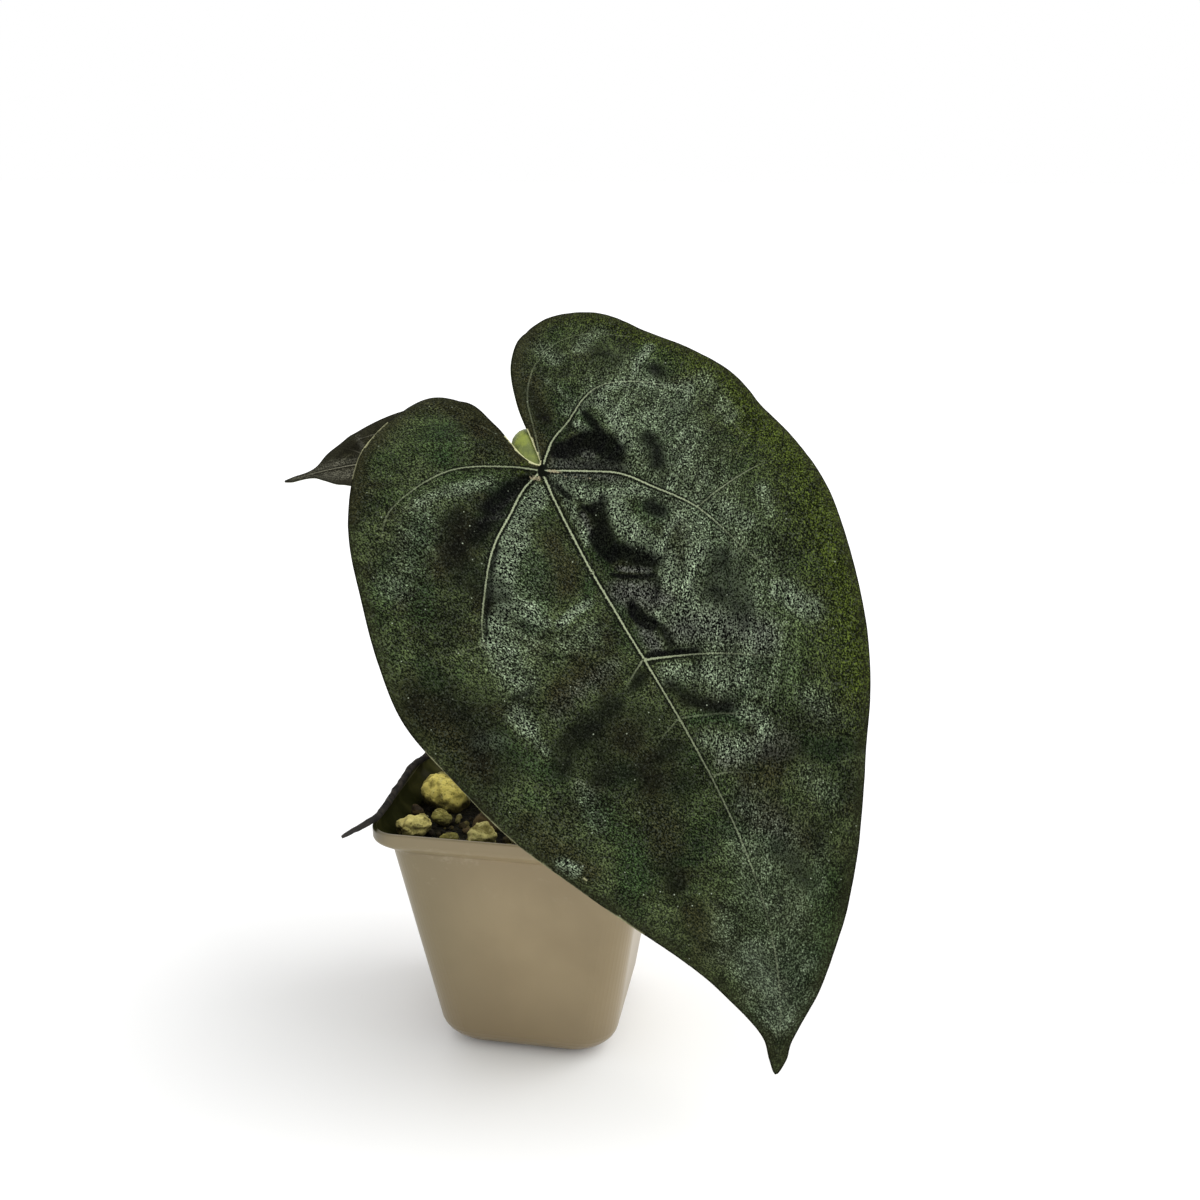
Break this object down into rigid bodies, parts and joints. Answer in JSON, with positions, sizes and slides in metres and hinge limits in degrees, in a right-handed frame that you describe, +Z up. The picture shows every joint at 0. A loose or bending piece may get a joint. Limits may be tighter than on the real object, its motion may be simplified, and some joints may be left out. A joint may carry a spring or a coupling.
{
  "type": "potted anthurium",
  "caption": "Young velvet-leaved anthurium in a square tapered nursery pot, with one large pendant heart-shaped leaf and a smaller leaf behind it.",
  "frame": {"origin": "middle of the pot's underside, on the surface that it stands on", "axes": "+Z up, the pot's sides along X and Y, its front face towards -Y; the main leaf hangs down in front and to +X"},
  "size_m": [0.1706, 0.1119, 0.2109],
  "materials": {
    "pot_plastic": "satin",
    "mix": "matte",
    "pumice": "matte",
    "bark": "matte",
    "stem": "matte",
    "dry_root": "matte",
    "root": "matte",
    "sheath": "matte",
    "main_blade": "satin",
    "second_blade": "satin",
    "stalk": "satin"
  },
  "bodies": {
    "root": {"pot": "pot_plastic", "stem": "stem", "dry_root_over_corner": "dry_root", "aerial_root_right": "root", "aerial_root_left": "root", "pumice_lump_1": "pumice", "pumice_lump_2": "pumice", "pumice_lump_3": "pumice", "pumice_lump_4": "pumice", "bark_lump_1": "bark", "pumice_lump_5": "pumice", "pumice_lump_6": "pumice", "bark_lump_2": "bark", "bark_lump_3": "bark", "bark_lump_4": "bark", "bark_lump_5": "bark", "pumice_lump_7": "pumice", "bark_lump_6": "bark", "pumice_lump_8": "pumice", "bark_lump_7": "bark", "pumice_lump_9": "pumice", "pumice_lump_10": "pumice", "bark_lump_8": "bark", "pumice_lump_11": "pumice", "bark_lump_9": "bark", "pumice_lump_12": "pumice", "pumice_lump_13": "pumice", "bark_lump_10": "bark", "bark_lump_11": "bark", "bark_lump_12": "bark", "bark_lump_13": "bark", "pumice_lump_14": "pumice", "bark_lump_14": "bark", "bark_lump_15": "bark", "bark_lump_16": "bark", "pumice_lump_15": "pumice", "bark_lump_17": "bark", "bark_lump_18": "bark", "pumice_lump_16": "pumice", "potting_mix": "mix", "main_leaf_blade": "main_blade", "second_leaf_blade": "second_blade", "dry_sheath_right": "sheath", "dry_sheath_left": "sheath", "main_leaf_stalk": "stalk", "second_leaf_stalk": "stalk"}
  },
  "joints": []
}
